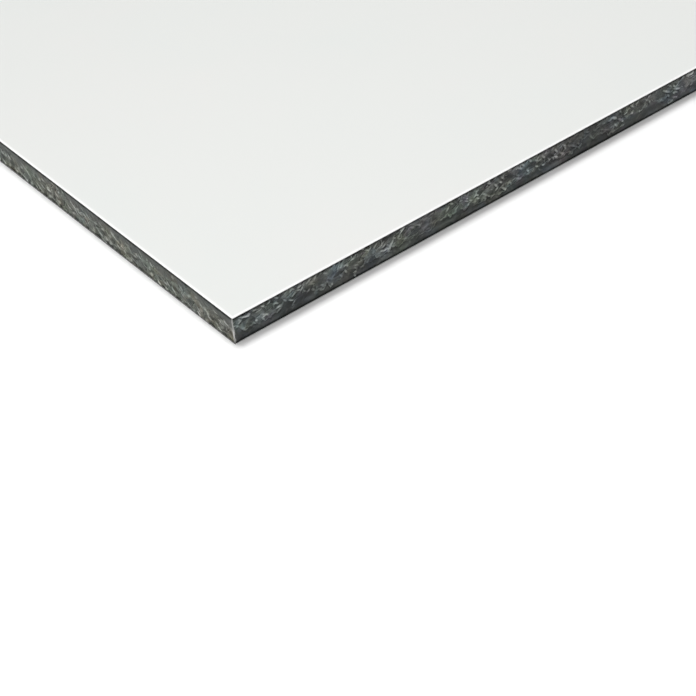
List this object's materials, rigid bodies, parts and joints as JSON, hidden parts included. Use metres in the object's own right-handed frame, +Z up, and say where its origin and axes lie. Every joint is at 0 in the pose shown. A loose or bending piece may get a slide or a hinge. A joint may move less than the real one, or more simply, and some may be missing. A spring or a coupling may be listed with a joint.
{
  "type": "faced multipurpose building board",
  "caption": "Flat rectangular building board: solid dark-grey core with a thin white facing on each side and plain sawn edges.",
  "frame": {"origin": "middle of the underside, where the board lies on a level floor", "axes": "+X along the length, +Y along the width, +Z up through the thickness, out of the upper face"},
  "size_m": [1.22, 0.61, 0.008],
  "materials": {
    "core": "matte",
    "facing": "satin"
  },
  "bodies": {
    "root": {"core": "core", "top_facing": "facing", "bottom_facing": "facing"}
  },
  "joints": []
}
